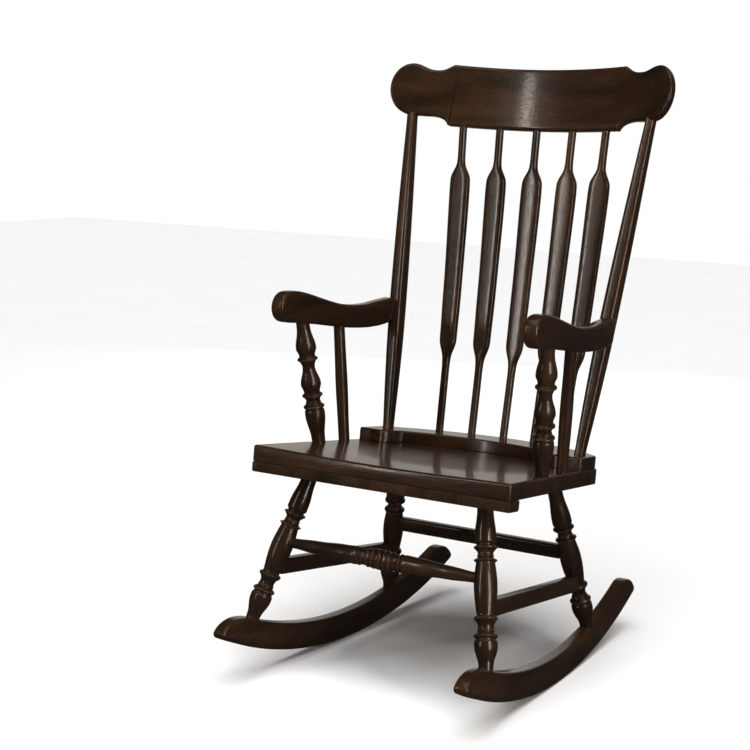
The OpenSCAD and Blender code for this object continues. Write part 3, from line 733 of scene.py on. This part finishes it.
def make_crest():
    """The crest rail: a board cut to its outline, then bent about an upright axis in front of it."""
    loop, _, _ = face_outline("crest_rail", (0, -1, 0), 0.93)
    origin = sum(loop, Vector()) / len(loop)
    origin.x = 0
    back = X_AXIS.cross(back_up) * -1
    place = Matrix((X_AXIS, back_up, back * -1)).transposed().to_4x4()
    place.translation = origin
    inverse = place.inverted()
    local = [inverse @ p for p in loop]
    # The bend's radius, from how far the ends stand in front of the middle
    half = max(abs(p.x) for p in local)
    ends_z = max(local, key=lambda p: abs(p.x)).z
    middle_z = min(local, key=lambda p: abs(p.x)).z
    rise = abs(ends_z - middle_z)
    radius = (half * half + rise * rise) / (2 * rise)
    flat = [p.to_2d() for p in local]
    if signed_area(flat) < 0:
        flat.reverse()
    loop = even_loop(flat, 0.003, 4, 0.004)
    bm = bmesh.new()
    rings = board_rings(loop, -CREST_THICKNESS, 0, CREST_ROUND_BACK, CREST_ROUND_FRONT)
    skin(bm, [[Vector((p.x, p.y, h)) for p in ring] for ring, h in rings])
    for i in range(1, CREST_CUTS):
        x = half * (2 * i / CREST_CUTS - 1)
        geometry = bm.verts[:] + bm.edges[:] + bm.faces[:]
        bmesh.ops.bisect_plane(bm, geom=geometry, dist=SAME_POINT, plane_co=(x, 0, 0), plane_no=(1, 0, 0))
    for vert in bm.verts:
        x, y, z = vert.co
        sine = x / radius
        cosine = math.sqrt(1 - sine * sine)
        vert.co = place @ Vector((x, y, middle_z + radius * (1 - cosine) + z / cosine))
    return finish_piece(bm, "crest_rail_wood", ["crest_rail"], grain_along(place, 0), wood)


make_crest()

# ---- Arms ----

SUPPORT = [(0, 13.0, ""), (0.04, 13.4, "line"), (0.205, 20.2, "s"), (0.262, 16.0, "s"), (0.274, 15.6, "line"),
           (0.284, 17.8, "line"), (0.292, 20.2, "steep"), (0.300, 20.2, "s"), (0.308, 17.4, "flat"),
           (0.316, 15.8, "line"), (0.362, 12.3, "steep"), (0.505, 20.2, "s"), (0.565, 16.2, "s"),
           (0.578, 15.6, "line"), (0.586, 18.0, "line"), (0.594, 20.4, "steep"), (0.602, 20.4, "s"),
           (0.610, 17.6, "flat"), (0.618, 16.2, "line"), (0.640, 14.0, "steep"), (0.648, 14.0, "s"),
           (0.656, 15.4, "steep"), (0.664, 14.8, "flat"), (0.676, 17.4, "flat"), (0.685, 20.2, "line"),
           (0.693, 21.0, "steep"), (0.701, 20.2, "flat"), (0.709, 17.6, "line"), (0.716, 17.8, "line"),
           (0.732, 19.6, "steep"), (0.762, 20.0, "steep"), (0.960, 13.7, "s"), (1, 13.2, "line")]
ARM_STICK = [(0, 11.2, ""), (0.12, 11.4, "line"), (0.5, 12.5, "s"), (0.88, 11.4, "s"), (1, 11.2, "line")]

for side, s in SIDES.items():
    board(f"arm_{side}_wood", f"arm_{side}", (s, 0, 0), Y_AXIS, 0.0065, wood, passes=18,
          corner_r=0.009)
    for node, keys in ((f"arm_support_{side}", SUPPORT), (f"arm_spindle_{side}", ARM_STICK)):
        shoulders = between_tenons(node, (0, 0, 1), (0, 0, -1), ARM_TENON, ARM_TENON)
        turning(node + "_wood", node, *shoulders, keys, wood, reach=0.007)

# ---- Carried-over fasteners ----

FASTENERS = ("rocker_bolts", "leg_inserts", "post_bolts", "post_inserts", "riser_screws", "lip_screws",
             "arm_bolts")
for node in FASTENERS + ("arm_plugs",):
    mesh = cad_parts[node].data
    mesh.materials.clear()
    mesh.materials.append(plug_wood if node == "arm_plugs" else steel)

# ---- Floor, light and camera ----


def make_floor(half=9.0, cells=12):
    """A wide sheet of studio paper under the rockers."""
    bm = bmesh.new()
    bmesh.ops.create_grid(bm, x_segments=cells, y_segments=cells, size=half)
    mesh = bpy.data.meshes.new("floor")
    bm.to_mesh(mesh)
    bm.free()
    mesh.materials.append(pale_floor())
    floor = bpy.data.objects.new("floor", mesh)
    floor.location.z = -0.0004
    floor.visible_glossy = False
    bpy.context.scene.collection.objects.link(floor)


WARM_WHITE = (1.0, 0.93, 0.84)


def direction(azimuth, elevation):
    """The way from the chair, in degrees. Azimuth 0 is in front of it, 90 at the sitter's left."""
    a, e = math.radians(azimuth), math.radians(elevation)
    return Vector((math.sin(a) * math.cos(e), -math.cos(a) * math.cos(e), math.sin(e)))


def softbox(name, azimuth, elevation, distance, size, power, target=(0, 0, 0.55)):
    """An area light that looks at the chair."""
    way = direction(azimuth, elevation)
    data = bpy.data.lights.new(name, "AREA")
    data.shape = "RECTANGLE"
    data.size, data.size_y = size
    data.energy = power
    data.color = WARM_WHITE
    light = bpy.data.objects.new(name, data)
    light.location = Vector(target) + way * distance
    light.rotation_euler = way.to_track_quat("Z", "Y").to_euler()
    bpy.context.scene.collection.objects.link(light)


def overhead(strength, spread, azimuth, elevation):
    """Even light from above for the paper and the wood, left out of reflections."""
    way = direction(azimuth, elevation)
    data = bpy.data.lights.new("overhead", "SUN")
    data.energy = strength
    data.angle = math.radians(spread)
    light = bpy.data.objects.new("overhead", data)
    light.rotation_euler = way.to_track_quat("Z", "Y").to_euler()
    light.visible_glossy = False
    bpy.context.scene.collection.objects.link(light)


def make_world(backdrop=1.0, room=0.02):
    """A white backdrop behind the chair, in a dimmer room that its lacquer reflects."""
    world = bpy.data.worlds.new("studio")
    world.use_nodes = True
    tree = world.node_tree
    background = tree.nodes["Background"]
    path = tree.nodes.new("ShaderNodeLightPath")
    level = tree.nodes.new("ShaderNodeMapRange")
    level.inputs["To Min"].default_value = room
    level.inputs["To Max"].default_value = backdrop
    tree.links.new(path.outputs["Is Camera Ray"], level.inputs["Value"])
    tree.links.new(level.outputs["Result"], background.inputs["Strength"])
    background.inputs["Color"].default_value = (1, 1, 1, 1)
    bpy.context.scene.world = world


make_floor()
overhead(3.7, 50, 20, 66)
softbox("strip_right", 62, 14, 3.0, (0.14, 2.2), 24)
softbox("strip_right_far", 76, 16, 3.1, (0.10, 2.0), 12)
softbox("strip_left", -28, 20, 3.2, (0.16, 2.0), 11)
softbox("box_top", 20, 74, 3.0, (2.6, 2.2), 14)
softbox("backdrop_glow", 200, 4, 3.8, (3.4, 2.4), 11)
make_world()
bpy.context.scene.view_settings.view_transform = "Standard"

CAMERA_AZIMUTH, CAMERA_ELEVATION, CAMERA_ROLL = 31.28, 9.27, 1.37
CAMERA_DISTANCE, CAMERA_LENS, SENSOR_WIDTH = 3.303, 78.4, 36
TARGET = Vector((-0.1919, 0.0268, 0.5503))

data = bpy.data.cameras.new("camera")
data.lens = CAMERA_LENS
data.sensor_width = SENSOR_WIDTH
camera = bpy.data.objects.new("camera", data)
toward_camera = direction(CAMERA_AZIMUTH, CAMERA_ELEVATION)
across = UP.cross(toward_camera).normalized()
upright = toward_camera.cross(across)
level = Matrix((across, upright, toward_camera)).transposed()
camera.matrix_world = Matrix.Translation(TARGET + toward_camera * CAMERA_DISTANCE) @ (
    level @ Matrix.Rotation(math.radians(CAMERA_ROLL), 3, "Z")).to_4x4()
bpy.context.scene.collection.objects.link(camera)
bpy.context.scene.camera = camera
